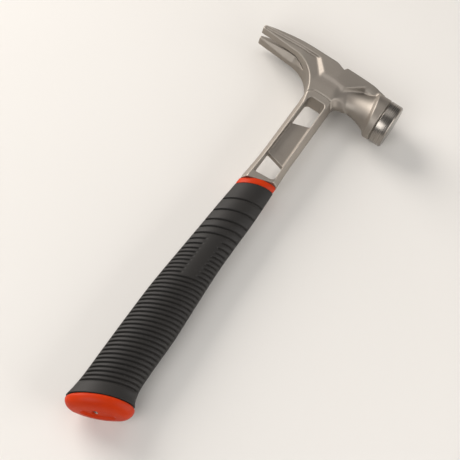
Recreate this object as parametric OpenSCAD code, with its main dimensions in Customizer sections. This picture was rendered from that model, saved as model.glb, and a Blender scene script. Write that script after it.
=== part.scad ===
// Framing hammer with an open steel shank, lying on its side.
// X runs from claw to striking face, Y up the handle to the head, Z up through the cheeks.

/* [Butt] */
// Slant of the end cap's seam, lower on the claw side
cap_slant = 24; // [10:1:30]
// Height of the end cap, square to its seam
cap_h = 12; // [10:0.5:18]
// Half width of the end cap along its seam
cap_half_w = 25.4; // [24:0.1:28]
// Half thickness of the end cap
cap_half_t = 17; // [15:0.1:18]
// Round on the end cap's outer edge
cap_round = 8.5; // [4:0.5:9]
// Radius of the cap's two narrow ends
cap_end_r = 12; // [9:0.1:14]
// Height of the flare that leads from the grip to the cap
flare_h = 17; // [12:0.5:24]
// Draw-in of that flare over its height
flare_in = 6; // [4:0.1:8]
// Length of the dish in the end cap
dish_len = 24; // [16:0.5:30]
// Depth of the dish in the end cap
dish_depth = 1.6; // [0.8:0.1:2.5]

/* [Cap screw] */
// Shank diameter of the cap screw
screw_d = 2.5; // [2.2:0.1:3]
// Head diameter of the cap screw
screw_head_d = 4.5; // [4:0.1:4.8]
// Head height of the cap screw
screw_head_h = 2.5; // [2:0.1:3.5]
// Length of the cap screw under its head
screw_len = 36; // [30:1:44]
// Width across flats of the screw's hexagon socket
screw_socket = 2; // [1.5:0.1:2.4]
// Depth of the hexagon socket
screw_socket_depth = 1.4; // [1:0.1:1.6]
// Thickness of the washer under the screw head
washer_t = 0.6; // [0.5:0.1:1.2]
// Outer diameter of that washer
washer_d = 5.2; // [5:0.1:6.5]
// Place of the screw towards the striking face
screw_x = 2.5; // [0:0.1:3]

/* [Grip] */
// Length of the grip between the middles of its seams
grip_len = 221; // [190:1:260]
// Place of the grip's middle line, towards the striking face
grip_axis_x = -0.6; // [-2:0.1:1]
// Offset of the centres of the two broad flanks
flank_set = 9.4; // [8.6:0.1:10.4]
// Offset of the centres of the two narrow spines
spine_set = 10.6; // [10:0.1:11.2]
// Half thickness of the grip at its fullest
grip_half_t = 14.4; // [14:0.1:15.4]
// Wall of the rubber sleeve
sleeve_wall = 2.6; // [2.2:0.1:3]
// Number of finger grooves
groove_count = 39; // [20:1:42]
// Step between the lower grooves
groove_step = 4.24; // [3.6:0.02:4.4]
// Width of a groove
groove_w = 1.7; // [1:0.1:2.2]
// Depth of a groove at the middle of the flank
groove_depth = 1.3; // [0.6:0.1:1.8]
// Distance from the collar to the first groove
groove_start = 31; // [24:0.5:36]
// Width of the smooth panel on each flank
panel_w = 11; // [8:0.5:14]
// Grooves that run whole before the panel starts
panel_first = 5; // [3:1:8]
// Grooves that the panel interrupts
panel_grooves = 9; // [5:1:12]

/* [Tang and core] */
// Half width of the tang
tang_half_w = 6.4; // [5.4:0.1:6.8]
// Half thickness of the tang
tang_half_t = 3; // [2.6:0.1:3.2]
// Distance from the cap's seam to the end of the tang
tang_end_gap = 16; // [13:0.5:22]
// Diameter of the three core rivets
rivet_d = 5; // [3:0.1:6]
// Number of core rivets
rivet_count = 3; // [2:1:4]

/* [Collar] */
// Height of the collar ring
collar_h = 5.9; // [4:0.1:9]
// Slant of the collar, lower on the claw side
collar_slant = 20; // [5:1:24]
// Half width of the collar
collar_half_w = 14.3; // [13.8:0.1:15]
// Half thickness of the collar
collar_half_t = 8.7; // [8.6:0.1:9.5]
// Radius of the collar's two narrow ends
collar_end_r = 4; // [3:0.1:6]

/* [Shank] */
// Length from the collar to the axis of the poll
shank_len = 112; // [90:1:140]
// Half width of the shank
shank_half_w = 12.7; // [12:0.1:13.4]
// Half thickness of the shank
shank_half_t = 8.3; // [7:0.1:8.5]
// Width of the bevel on each rail
rail_bevel_w = 3.4; // [2:0.1:4]
// Half thickness left at the outside of each rail
rail_edge_t = 3; // [2:0.1:4]
// Length of the window
window_len = 87; // [70:1:90]
// Half width of the window at the collar end
window_half_low = 9.2; // [8:0.1:9.4]
// Half width of the window at the head end
window_half_high = 7.6; // [6:0.1:8.5]
// Radius in the window's corners
window_round = 3.4; // [2:0.1:5]
// Steel between the collar and the window
window_sill = 4; // [4:0.5:10]
// Length of the web inside the window
web_len = 40; // [25:1:50]
// Half thickness of that web
web_half_t = 2.6; // [1.5:0.1:4]
// Slant of the web's two edges
web_slant = 18; // [0:1:20]

/* [Head] */
// Radius of the striking face
face_r = 18.7; // [17:0.1:20]
// Distance from the handle's axis to the rim of the face
face_reach = 60.2; // [56:0.1:66]
// Length of the turned face piece behind its rim
face_len = 11.6; // [10:0.1:13]
// Rise of the crowned face
face_crown = 1.7; // [0.5:0.1:2.5]
// Chamfer round the face
face_chamfer = 1.5; // [0.5:0.1:2.5]
// Width of the joint groove behind the face piece
joint_w = 0.9; // [0.5:0.1:1.5]
// Depth of the joint groove
joint_depth = 0.8; // [0.4:0.1:1.2]
// Diameter of the spigot on the face piece
spigot_d = 16; // [12:0.5:20]
// Length of the spigot
spigot_len = 14; // [10:0.5:16]
// Length of the poll's full rim behind the joint
poll_rim = 9; // [7:0.1:11]
// Radius of the neck behind the poll
neck_r = 11.4; // [10:0.1:13]
// Half thickness of the cheeks
cheek_half_t = 11; // [10:0.1:12.5]
// Half thickness of the raised block along the top
block_half_t = 14; // [13:0.1:15]
// Height of the raised block
block_h = 16; // [12:0.1:18]
// Height of the bevel under the raised block
block_bevel = 4.6; // [3:0.1:6]
// Chamfer height along the top edges
top_chamfer_h = 1.7; // [1.2:0.1:2.4]
// Chamfer width along the top edges
top_chamfer_w = 2.8; // [2:0.1:4]
// Height of the rim round the head of the window
window_rim = 8; // [6:0.5:10]

/* [Claw] */
// Distance from the handle's axis to the claw tips
claw_reach = 72; // [64:0.5:80]
// Drop of the claw tips below the top
claw_drop = 8.4; // [6:0.1:14]
// Thickness of the claw tips
claw_tip_t = 2.8; // [2:0.1:4]
// Half width of the claw at its tips
claw_half_w = 13.4; // [12:0.1:15]
// Half width of the claw at its waist
claw_waist = 13.2; // [12:0.1:13.4]
// Radius of the throat under the claw
throat_r = 28; // [24:0.5:34]
// Drop of the throat below the poll's top
throat_drop = 13.5; // [12:0.5:16]
// Half width of the nail slot at the tips
slot_half_w = 3; // [2.4:0.1:3.6]
// Half width of the nail slot at its root
slot_root_half = 1.4; // [1:0.1:2]
// Slant of the slot's walls, which makes it wider below
slot_slant = 25; // [18:1:28]
// Length of the nail slot
slot_len = 45; // [35:0.5:50]
// Height of the strip that stands out along the claw's top
claw_strip_h = 4; // [2:0.1:6]

/* [Nail holder] */
// Length of the nail notch in the top of the head
notch_len = 11; // [8:0.5:14]
// Depth of the nail notch
notch_depth = 4.4; // [3:0.1:5]
// Place of the notch's deepest point, towards the striking face
notch_x = 3.2; // [0:0.1:5]
// Diameter of the nail magnet
magnet_d = 5; // [3:0.1:6]
// Length of the nail magnet
magnet_len = 6; // [3:0.5:8]

/* [Fits] */
// Clearance between pieces that sit in each other
fit = 0.1; // [0.05:0.01:0.2]

/* [Hidden] */
$fn = 96;
over = 60;
steel = "#8d857a";
bright_steel = "#c9c5be";
rubber = "#1d1c1b";
orange = "#dd5222";
nylon = "#3a3836";

// Places along the handle, from the lowest point of the butt
seam_y = (cap_h - cap_round) * cos(cap_slant) + (cap_half_w - cap_round) * sin(cap_slant) + cap_round;
collar_y = seam_y + grip_len;
shank_y = collar_y + collar_h;
axis_y = shank_y + shank_len;
top_y = axis_y + face_r;
joint_x = face_reach - face_len;
poll_x = joint_x - poll_rim;

// Grip profile: heights as shares of the grip's length, with the thickness there
station_shares = [-0.08, 0, 0.03, 0.07, 0.16, 0.32, 0.52, 0.7, 0.85, 1, 1.06];
thick_shares = [0.99, 0.98, 0.985, 0.99, 1.0, 0.99, 0.89, 0.78, 0.71, 0.61, 0.59];
first_step_shares = [2.6, 1.85, 1.7, 1.5, 1.3, 1.2];
fade_share = 0.96;
web_place_share = 0.48;
oval_step = sqrt(flank_set * flank_set + spine_set * spine_set);
lap = 0.02;

function station(i) = seam_y + grip_len * station_shares[i];
function flank_r(i) = flank_set + grip_half_t * thick_shares[i];
function flank_at(y) = lookup(y, [for (i = [0:len(station_shares) - 1]) [station(i), flank_r(i)]]);

// Groove places: a few wide steps under the collar, then an even step
function step_at(k) = groove_step * (k < len(first_step_shares) ? first_step_shares[k] : 1);
function groove_y(k) = k == 0 ? collar_y - groove_start : groove_y(k - 1) - step_at(k - 1);
function slant_at(y) = cap_slant + (collar_slant - cap_slant) * (y - seam_y) / grip_len;

// The hammer lies with its middle plane one face radius above the floor
module place() {
    translate([(claw_reach - face_reach - face_crown) / 2, -top_y / 2, face_r]) children();
}

// Extrudes a side outline evenly to both sides of the middle plane
module both_sides(half) {
    translate([0, 0, -half]) linear_extrude(half * 2) children();
}

// Everything below a slanted plane that crosses the handle's axis at a height
module below(y, slant) {
    reach = over * 8;
    translate([0, y, 0]) rotate(slant) translate([-reach, -reach, -over]) cube([reach * 2, reach, over * 2]);
}

// Turned body along the handle, whose radius follows the grip's profile
module turned(x, z, inset) {
    n = len(station_shares) - 1;
    translate([x, 0, z]) rotate([-90, 0, 0]) rotate_extrude() polygon(concat(
        [[0, station(0)]],
        [for (i = [0:n]) [flank_r(i) - inset, station(i)]],
        [[0, station(n)]]
    ));
}

// Plan of the part of an oval that its two broad arcs bound
module waist(end_set, side_set) {
    reach = over / (end_set + side_set);
    polygon([
        [-end_set, 0],
        [-end_set * (1 + reach), side_set * reach],
        [end_set * (1 + reach), side_set * reach],
        [end_set, 0],
        [end_set * (1 + reach), -side_set * reach],
        [-end_set * (1 + reach), -side_set * reach]
    ]);
}

// Whole grip body between its two slanted seams, an oval of four arcs
module grip_body(inset) {
    difference() {
        intersection() {
            union() {
                intersection() {
                    turned(grip_axis_x, -flank_set, inset);
                    turned(grip_axis_x, flank_set, inset);
                    along_handle(-over, top_y) translate([grip_axis_x, 0]) waist(spine_set, flank_set);
                }
                for (side = [-1, 1]) turned(grip_axis_x + side * spine_set, 0, inset + oval_step + lap);
            }
            below(collar_y, collar_slant);
        }
        below(seam_y, cap_slant);
    }
}

// One groove: a slanted slot round the grip that runs out before both spines
module groove(k) {
    y = groove_y(k);
    s = slant_at(y);
    r = flank_at(y);
    half_t = r - flank_set;
    floor_t = half_t - groove_depth;
    reach = fade_share * r * spine_set / oval_step;
    edge_t = sqrt(r * r - reach * reach) - flank_set;
    wide = reach / cos(s);
    set = (wide * wide + edge_t * edge_t - floor_t * floor_t) / ((floor_t - edge_t) * 2);
    translate([grip_axis_x, y, 0]) rotate([90, 0, s]) translate([0, 0, -groove_w / 2])
        linear_extrude(groove_w) difference() {
            square([wide * 2, half_t * 3], center = true);
            intersection() {
                translate([0, -set]) circle(floor_t + set);
                translate([0, set]) circle(floor_t + set);
            }
            if (k >= panel_first && k < panel_first + panel_grooves)
                square([panel_w / cos(s), half_t * 4], center = true);
        }
}

// Offset of the broad arcs' centres that makes them meet the ends of an oval smoothly
function side_set(half_w, half_t, end_r) =
    (pow(half_w - end_r, 2) - pow(half_t - end_r, 2)) / ((half_t - end_r) * 2);

// Oval of four arcs
module oval(half_w, half_t, end_r) {
    set = side_set(half_w, half_t, end_r);
    intersection() {
        translate([0, -set]) circle(half_t + set);
        translate([0, set]) circle(half_t + set);
        waist(half_w - end_r, set);
    }
    for (side = [-1, 1]) translate([side * (half_w - end_r), 0]) circle(end_r - lap);
}

// Bar along the handle for the tang and the holes that take it
module tang_bar(grow) {
    low = seam_y + tang_end_gap - grow;
    high = shank_y + tang_half_w * tan(collar_slant) + window_sill / 4;
    translate([-tang_half_w - grow, low, -tang_half_t - grow])
        cube([(tang_half_w + grow) * 2, high - low, (tang_half_t + grow) * 2]);
}

// Round bar along the handle, from one height to another
module rod(x, y0, y1, d) {
    translate([x, y0, 0]) rotate([-90, 0, 0]) cylinder(h = y1 - y0, d = d);
}

// Places of the core rivets along the tang
function rivet_y(i) = seam_y + tang_end_gap + (grip_len - tang_end_gap) * (i + 1) / (rivet_count + 1);

// Heights of the screw's seat and tip
function seat_y() = seam_y - cap_h / cos(cap_slant) + screw_x * tan(cap_slant) + dish_depth + screw_head_h
    + screw_socket_depth;

// Radius of the claw's top, and the top's height at a place along the claw
function claw_arc() = (claw_reach * claw_reach + claw_drop * claw_drop) / (claw_drop * 2);
function claw_top(x) = top_y - claw_arc() + sqrt(pow(claw_arc(), 2) - x * x);

// Side outline of the claw, the cheeks and the neck
module head_outline() {
    throat_x = -shank_half_w - throat_r;
    throat_y = top_y - throat_drop - throat_r;
    neck_y = axis_y - neck_r;
    difference() {
        intersection() {
            polygon([
                [-claw_reach, top_y],
                [-claw_reach, top_y - claw_drop - claw_tip_t],
                [throat_x, throat_y + throat_r],
                [throat_x, throat_y],
                [-shank_half_w, throat_y],
                [-shank_half_w, throat_y - window_rim],
                [shank_half_w, throat_y - window_rim],
                [shank_half_w, neck_y - window_rim],
                [shank_half_w + window_rim, neck_y],
                [poll_x, neck_y],
                [poll_x, top_y]
            ]);
            union() {
                translate([0, top_y - claw_arc()]) circle(claw_arc(), $fn = 720);
                translate([0, throat_y - window_rim]) square([poll_x, top_y - throat_y + window_rim]);
            }
        }
        translate([throat_x, throat_y]) circle(throat_r);
        translate([shank_half_w + window_rim, neck_y - window_rim]) circle(window_rim);
    }
}

// Top outline that widens the claw towards its tips and runs out over the neck
module claw_plan() {
    waist_x = -claw_reach / 2;
    end_x = shank_half_w + window_rim / 2;
    polygon([
        [-claw_reach, -claw_half_w],
        [waist_x, -claw_waist],
        [-shank_half_w, -cheek_half_t],
        [end_x, -cheek_half_t],
        [shank_half_w * 2, -cheek_half_t / 2],
        [shank_half_w * 2, cheek_half_t / 2],
        [end_x, cheek_half_t],
        [-shank_half_w, cheek_half_t],
        [waist_x, claw_waist],
        [-claw_reach, claw_half_w]
    ]);
}

// Nail slot between the claws: a V that opens downwards, ended by a ramp that rises from the throat
module nail_slot() {
    spread = tan(slot_slant);
    root_x = slot_len - claw_reach;
    root_y = claw_top(root_x) + slot_root_half / spread;
    tip_y = claw_top(-claw_reach) + slot_half_w / spread;
    foot_y = top_y - throat_drop - throat_r;
    run = -shank_half_w - slot_root_half - root_x;
    ramp_r = (pow(claw_top(root_x) - foot_y, 2) + run * run) / (run * 2);
    intersection() {
        translate([root_x, root_y, 0]) rotate(atan((root_y - tip_y) / slot_len))
            along_head(-over * 2, over) polygon([[0, 0], [-over, -over * spread], [-over, over * spread]]);
        both_sides(over) translate([root_x + run - ramp_r, foot_y]) circle(ramp_r, $fn = 360);
    }
}

// Turns a plan outline (X, Z) into a solid along the handle
module along_handle(y0, y1) {
    translate([0, y1, 0]) rotate([90, 0, 0]) linear_extrude(y1 - y0) children();
}

// Cross outline (Y, Z) of the head along X, from one place to another
module along_head(x0, x1) {
    translate([x0, 0, 0]) rotate([90, 0, 90]) linear_extrude(x1 - x0) children();
}

// Claws, cheeks and neck, with the rails' bevel carried round both fillets
module claw_and_cheeks() {
    difference() {
        intersection() {
            both_sides(over) head_outline();
            along_handle(axis_y - over, top_y) claw_plan();
            along_head(-claw_reach, poll_x) top_section(claw_half_w, top_y - over);
        }
        fillet_bevel(-shank_half_w - throat_r, top_y - throat_drop - throat_r, throat_r);
        fillet_bevel(shank_half_w + window_rim, axis_y - neck_r - window_rim, window_rim);
    }
}

// Bevel along the edges of a round fillet, with the slope of the rails' bevel
module fillet_bevel(x, y, r) {
    rise = block_half_t - rail_edge_t;
    run = rise * rail_bevel_w / (shank_half_t - rail_edge_t);
    for (side = [0, 1]) translate([x, y, 0]) mirror([0, 0, side])
        translate([0, 0, rail_edge_t]) cylinder(h = rise, r1 = r, r2 = r + run);
}

// Cross section under the chamfered top, drawn in to the shank's thickness at the window
module top_section(half_t, y0) {
    low = axis_y - face_r;
    polygon([
        [y0, -shank_half_t],
        [low, -shank_half_t],
        [axis_y, -half_t],
        [top_y - top_chamfer_h, -half_t],
        [top_y, top_chamfer_w - block_half_t],
        [top_y, block_half_t - top_chamfer_w],
        [top_y - top_chamfer_h, half_t],
        [axis_y, half_t],
        [low, shank_half_t],
        [y0, shank_half_t]
    ]);
}

// Raised block along the top of the cheeks, running out along the claw
module top_block() {
    step_x = -shank_half_w - block_bevel;
    low_y = top_y - block_h;
    intersection() {
        both_sides(over) intersection() {
            head_outline();
            union() {
                polygon([
                    [step_x, top_y],
                    [step_x, top_y - block_bevel],
                    [step_x + block_h - block_bevel, low_y - block_bevel],
                    [shank_half_w, low_y - block_bevel],
                    [shank_half_w * 2, top_y - block_bevel * 1.5],
                    [poll_x, top_y - block_bevel * 1.5],
                    [poll_x, top_y]
                ]);
                polygon([
                    [-claw_reach, top_y],
                    [-claw_reach, top_y - claw_drop],
                    [step_x, top_y - claw_strip_h - block_bevel / 2],
                    [step_x, top_y]
                ]);
            }
        }
        along_head(-claw_reach, poll_x) polygon([
            [low_y - block_bevel, -cheek_half_t],
            [low_y, -block_half_t],
            [top_y - top_chamfer_h, -block_half_t],
            [top_y, top_chamfer_w - block_half_t],
            [top_y, block_half_t - top_chamfer_w],
            [top_y - top_chamfer_h, block_half_t],
            [low_y, block_half_t],
            [low_y - block_bevel, cheek_half_t]
        ]);
        along_handle(low_y - block_bevel, top_y) polygon([
            [-claw_reach, -block_half_t],
            [shank_half_w, -block_half_t],
            [poll_x, -face_r / 3],
            [poll_x, face_r / 3],
            [shank_half_w, block_half_t],
            [-claw_reach, block_half_t]
        ]);
    }
}

// Round poll that swells from the neck to the full rim
module poll() {
    swell = face_r - neck_r;
    translate([0, axis_y, 0]) rotate([0, 90, 0]) rotate_extrude() difference() {
        polygon([
            [0, shank_half_w],
            [neck_r, shank_half_w],
            [neck_r, poll_x - swell * 2],
            [face_r, poll_x],
            [face_r, joint_x - joint_w],
            [face_r - joint_depth, joint_x - joint_w],
            [face_r - joint_depth, joint_x],
            [0, joint_x]
        ]);
        translate([neck_r + swell * 2, poll_x - swell * 2]) circle(swell * 2);
    }
}

// Cross section of the shank with its bevelled rails
module shank_section() {
    flat = shank_half_w - rail_bevel_w;
    polygon([
        [-shank_half_w, -rail_edge_t],
        [-flat, -shank_half_t],
        [flat, -shank_half_t],
        [shank_half_w, -rail_edge_t],
        [shank_half_w, rail_edge_t],
        [flat, shank_half_t],
        [-flat, shank_half_t],
        [-shank_half_w, rail_edge_t]
    ]);
}

// Window outline with rounded corners, wider towards the collar
module window_outline() {
    low = shank_y + window_sill + window_round;
    high = shank_y + window_sill + window_len - window_round;
    rise = window_half_low * tan(collar_slant) / 2;
    hull() for (side = [-1, 1]) {
        translate([side * (window_half_high - window_round), high]) circle(window_round, $fn = 32);
        translate([side * (window_half_low - window_round), low + rise * (side + 1) / 2])
            circle(window_round, $fn = 32);
    }
}

// Web that closes the middle of the window at half depth
module web() {
    middle = shank_y + window_sill + window_len * web_place_share;
    wide = shank_half_w - rail_bevel_w;
    rise = wide * tan(web_slant);
    both_sides(web_half_t) polygon([
        [-wide, middle - web_len / 2 + rise],
        [wide, middle - web_len / 2 - rise],
        [wide, middle + web_len / 2 + rise],
        [-wide, middle + web_len / 2 - rise]
    ]);
}

// Notch across the top where a nail head sits
module notch() {
    both_sides(over) polygon([
        [notch_x - notch_len, top_y + over],
        [notch_x - notch_len, top_y],
        [notch_x, top_y - notch_depth],
        [notch_x + notch_depth / 2, top_y],
        [notch_x + notch_depth / 2, top_y + over]
    ]);
}

// Round bar for the nail magnet, whose top lies just under the notch's sloping floor
module magnet_rod(grow, above) {
    x = notch_x - notch_len / 2;
    high = top_y - notch_depth * (x + magnet_d / 2 - notch_x + notch_len) / notch_len - fit;
    rod(x, high - magnet_len - grow, high + above, magnet_d + grow * 2);
}

module head_frame() {
    color(steel) place() difference() {
        union() {
            difference() {
                union() {
                    claw_and_cheeks();
                    top_block();
                    poll();
                    difference() {
                        along_handle(shank_y - over, axis_y) shank_section();
                        below(shank_y, collar_slant);
                    }
                }
                both_sides(over) window_outline();
                notch();
                nail_slot();
            }
            web();
            tang_bar(0);
        }
        translate([joint_x - spigot_len - fit, axis_y, 0]) rotate([0, 90, 0])
            cylinder(h = spigot_len + over, d = spigot_d + fit * 2);
        magnet_rod(fit, over);
        rod(screw_x, seam_y, seat_y() + screw_len + fit, screw_d + fit * 2);
        for (i = [0:rivet_count - 1])
            translate([0, rivet_y(i), 0]) cylinder(h = over, d = rivet_d + fit * 2, center = true);
    }
}

module strike_face() {
    crown_r = (pow(face_r - face_chamfer, 2) + face_crown * face_crown) / (face_crown * 2);
    color(bright_steel) place() translate([joint_x, axis_y, 0]) rotate([0, 90, 0]) union() {
        rotate_extrude() intersection() {
            polygon([
                [0, 0],
                [face_r, 0],
                [face_r, face_len - face_chamfer],
                [face_r - face_chamfer, face_len],
                [face_r - face_chamfer, face_len + face_crown],
                [0, face_len + face_crown]
            ]);
            union() {
                square([face_r, face_len]);
                intersection() {
                    translate([0, face_len + face_crown - crown_r]) circle(crown_r, $fn = 360);
                    translate([0, face_len / 2]) square([face_r, face_len]);
                }
            }
        }
        translate([0, 0, -spigot_len]) cylinder(h = spigot_len + face_len / 2, d = spigot_d);
    }
}

module nail_magnet() {
    color(nylon) place() magnet_rod(0, 0);
}

module collar_ring() {
    color(orange) place() difference() {
        intersection() {
            along_handle(collar_y - over, shank_y + over) translate([grip_axis_x, 0])
                oval(collar_half_w, collar_half_t, collar_end_r);
            below(shank_y, collar_slant);
        }
        below(collar_y, collar_slant);
        tang_bar(fit);
    }
}

// Core of the grip round the tang, before it is split into halves
module core_body() {
    difference() {
        grip_body(sleeve_wall + fit);
        tang_bar(fit);
        rod(screw_x, seam_y - over, seat_y() + screw_len + fit, screw_d + fit * 2);
        for (i = [0:rivet_count - 1])
            translate([0, rivet_y(i), 0]) cylinder(h = over, d = rivet_d + fit * 2, center = true);
    }
}

module core_near() {
    color(nylon) place() intersection() {
        core_body();
        translate([-over, 0, fit / 2]) cube([over * 2, top_y, over]);
    }
}

module core_far() {
    color(nylon) place() intersection() {
        core_body();
        translate([-over, 0, -over - fit / 2]) cube([over * 2, top_y, over]);
    }
}

module core_rivets() {
    color(bright_steel) place() for (i = [0:rivet_count - 1]) {
        half = flank_at(rivet_y(i)) - flank_set - sleeve_wall - rivet_d / 2;
        translate([0, rivet_y(i), -half]) cylinder(h = half * 2, d = rivet_d);
    }
}

// Flare that widens the foot of the grip to the cap, square to the slanted seam
module flare() {
    set = side_set(cap_half_w, cap_half_t, cap_end_r);
    translate([grip_axis_x, seam_y, 0]) rotate(cap_slant) {
        intersection() {
            translate([0, 0, -set]) flare_cone(cap_half_t + set);
            translate([0, 0, set]) flare_cone(cap_half_t + set);
            along_handle(0, flare_h) waist(cap_half_w - cap_end_r, set);
        }
        for (side = [-1, 1]) translate([side * (cap_half_w - cap_end_r), 0, 0]) flare_cone(cap_end_r - lap);
    }
}

// Turned cone of that flare
module flare_cone(r) {
    rotate([-90, 0, 0]) cylinder(h = flare_h, r1 = r, r2 = r - flare_in);
}

module grip_sleeve() {
    color(rubber) place() difference() {
        union() {
            grip_body(0);
            flare();
        }
        grip_body(sleeve_wall);
        for (k = [0:groove_count - 1]) groove(k);
    }
}

// Turned disc with a domed edge, for the cap's flanks and ends
module cap_disc(r) {
    rotate([90, 0, 0]) rotate_extrude() union() {
        square([r - cap_round, cap_h]);
        square([r, cap_h - cap_round]);
        translate([r - cap_round, cap_h - cap_round]) intersection() {
            circle(cap_round);
            square(cap_round);
        }
    }
}

module end_cap() {
    dish_r = (dish_len * dish_len / 4 + dish_depth * dish_depth) / (dish_depth * 2);
    set = side_set(cap_half_w, cap_half_t, cap_end_r);
    color(orange) place() difference() {
        translate([grip_axis_x, seam_y, 0]) rotate(cap_slant) difference() {
            union() {
                intersection() {
                    translate([0, 0, -set]) cap_disc(cap_half_t + set);
                    translate([0, 0, set]) cap_disc(cap_half_t + set);
                    along_handle(-cap_h, 0) waist(cap_half_w - cap_end_r, set);
                }
                for (side = [-1, 1])
                    translate([side * (cap_half_w - cap_end_r), 0, 0]) cap_disc(cap_end_r - lap);
            }
            translate([0, dish_depth - cap_h - dish_r, 0]) sphere(dish_r, $fn = 180);
        }
        rod(screw_x, seam_y - over, seat_y(), washer_d + fit * 2);
        rod(screw_x, seam_y - over, seam_y + over, screw_d + fit * 2);
    }
}

module cap_washer() {
    color(bright_steel) place() difference() {
        rod(screw_x, seat_y() - washer_t, seat_y(), washer_d);
        rod(screw_x, seam_y - over, seat_y() + over, screw_d + fit * 2);
    }
}

module cap_screw() {
    head_low = seat_y() - washer_t - screw_head_h;
    color(bright_steel) place() difference() {
        union() {
            rod(screw_x, head_low, head_low + screw_head_h, screw_head_d);
            rod(screw_x, head_low, seat_y() - washer_t + screw_len, screw_d);
        }
        translate([screw_x, head_low, 0]) rotate([-90, 0, 0])
            cylinder(h = screw_socket_depth * 2, d = screw_socket / cos(30), center = true, $fn = 6);
    }
}

head_frame();
strike_face();
nail_magnet();
collar_ring();
core_near();
core_far();
core_rivets();
grip_sleeve();
end_cap();
cap_washer();
cap_screw();
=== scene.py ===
import math
import bpy
import numpy as np
from mathutils import Matrix, Vector


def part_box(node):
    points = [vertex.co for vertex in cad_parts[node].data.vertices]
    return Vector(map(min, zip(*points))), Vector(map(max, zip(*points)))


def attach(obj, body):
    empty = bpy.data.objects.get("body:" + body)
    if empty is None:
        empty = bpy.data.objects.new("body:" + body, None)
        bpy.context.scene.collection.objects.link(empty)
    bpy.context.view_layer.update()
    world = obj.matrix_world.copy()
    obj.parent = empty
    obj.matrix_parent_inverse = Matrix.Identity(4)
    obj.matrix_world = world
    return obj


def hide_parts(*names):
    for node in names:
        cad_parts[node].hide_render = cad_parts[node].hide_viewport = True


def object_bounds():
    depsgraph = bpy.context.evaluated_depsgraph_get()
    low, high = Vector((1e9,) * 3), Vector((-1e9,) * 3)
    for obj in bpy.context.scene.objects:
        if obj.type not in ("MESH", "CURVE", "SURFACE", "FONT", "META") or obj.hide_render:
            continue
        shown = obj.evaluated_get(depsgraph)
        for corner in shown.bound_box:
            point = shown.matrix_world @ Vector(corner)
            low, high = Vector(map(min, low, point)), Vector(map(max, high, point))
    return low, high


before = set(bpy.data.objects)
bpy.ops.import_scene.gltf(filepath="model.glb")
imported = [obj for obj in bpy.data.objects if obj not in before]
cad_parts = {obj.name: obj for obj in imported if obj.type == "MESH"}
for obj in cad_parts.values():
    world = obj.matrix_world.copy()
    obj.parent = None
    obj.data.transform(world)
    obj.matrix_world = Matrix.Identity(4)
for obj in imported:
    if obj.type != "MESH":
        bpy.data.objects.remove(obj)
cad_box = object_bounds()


# Head frame: split claw, cheeks, round poll, open shank and tang, all one forging.
# Tool steel, drop-forged in two dies, milled in the window and slot, then bead-blasted.
# Its tang runs down inside the grip and carries every other piece.

# All pieces are drawn in millimetres from the handle's axis:
# x runs to the striking face, y up from the butt and z to the side
MM = 0.001
CLAW_REACH = 72.0
POLL_R = 18.7
head_low, head_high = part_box("head_frame")
ORIGIN = Vector((head_low.x + CLAW_REACH * MM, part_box("end_cap")[0].y, (head_low.z + head_high.z) / 2))
POLL_Y = (head_high.y - ORIGIN.y) / MM - POLL_R


def solid(name, points, faces):
    """Makes an object of points in millimetres in the hammer's own frame."""
    mesh = bpy.data.meshes.new(name)
    mesh.from_pydata((np.asarray(points) * MM + np.array(ORIGIN)).tolist(), [], faces)
    mesh.polygons.foreach_set("use_smooth", [True] * len(mesh.polygons))
    made = bpy.data.objects.new(name, mesh)
    bpy.context.scene.collection.objects.link(made)
    return made


def merge(piece, tool, how):
    """Cuts a tool's shape from a piece, or joins it on, and takes the tool away."""
    change = piece.modifiers.new("merge", "BOOLEAN")
    change.operation, change.solver, change.object = how, "MANIFOLD", tool
    shaped = piece.evaluated_get(bpy.context.evaluated_depsgraph_get())
    before = piece.data
    piece.data = bpy.data.meshes.new_from_object(shaped)
    piece.modifiers.clear()
    bpy.data.meshes.remove(before)
    bpy.data.objects.remove(tool)


def rounds(rings, closed):
    """Faces between rings of equally many points, each ring a loop; closed joins the last ring to the first."""
    count, around = len(rings), len(rings[0])
    faces = []
    for i in range(count if closed else count - 1):
        a, b = i * around, (i + 1) % count * around
        faces += [(a + j, a + (j + 1) % around, b + (j + 1) % around, b + j) for j in range(around)]
    return faces


def capped(rings):
    """Faces of a closed body: those between its rings, and one over the first and the last ring."""
    around = len(rings[0])
    last = (len(rings) - 1) * around
    return rounds(rings, False) + [tuple(range(around))[::-1], tuple(range(last, last + around))]


def turned(name, profile, start, axis, around=96):
    """A body turned about an axis through a start point: its profile gives distance along the axis and radius."""
    axis = np.array(axis, float)
    side = np.array((0, 0, 1.0)) if abs(axis[2]) < 0.5 else np.array((1.0, 0, 0))
    up = np.cross(axis, side)
    angles = np.linspace(0, 2 * math.pi, around, endpoint=False)
    circle = np.outer(np.cos(angles), side) + np.outer(np.sin(angles), up)
    rings = [np.array(start) + along * axis + max(r, 0.001) * circle for along, r in profile]
    return solid(name, np.concatenate(rings), capped(rings))


def soft_max(a, b, size):
    """The larger of two fields, with the crease between them rounded over a size in millimetres."""
    lap = np.maximum(size - np.abs(a - b), 0) / size
    return np.maximum(a, b) + lap * lap * size / 4


def soft_min(a, b, size):
    """The smaller of two fields, with the crease rounded in the same way."""
    return -soft_max(-a, -b, size)


def part_way(value, start, end):
    """How far a value lies on the way from a start to an end, from 0 to 1."""
    return np.clip((value - start) / (end - start), 0, 1)


def eased(share):
    """A share from 0 to 1 that starts and ends gently."""
    return share * share * (3 - 2 * share)


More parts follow.
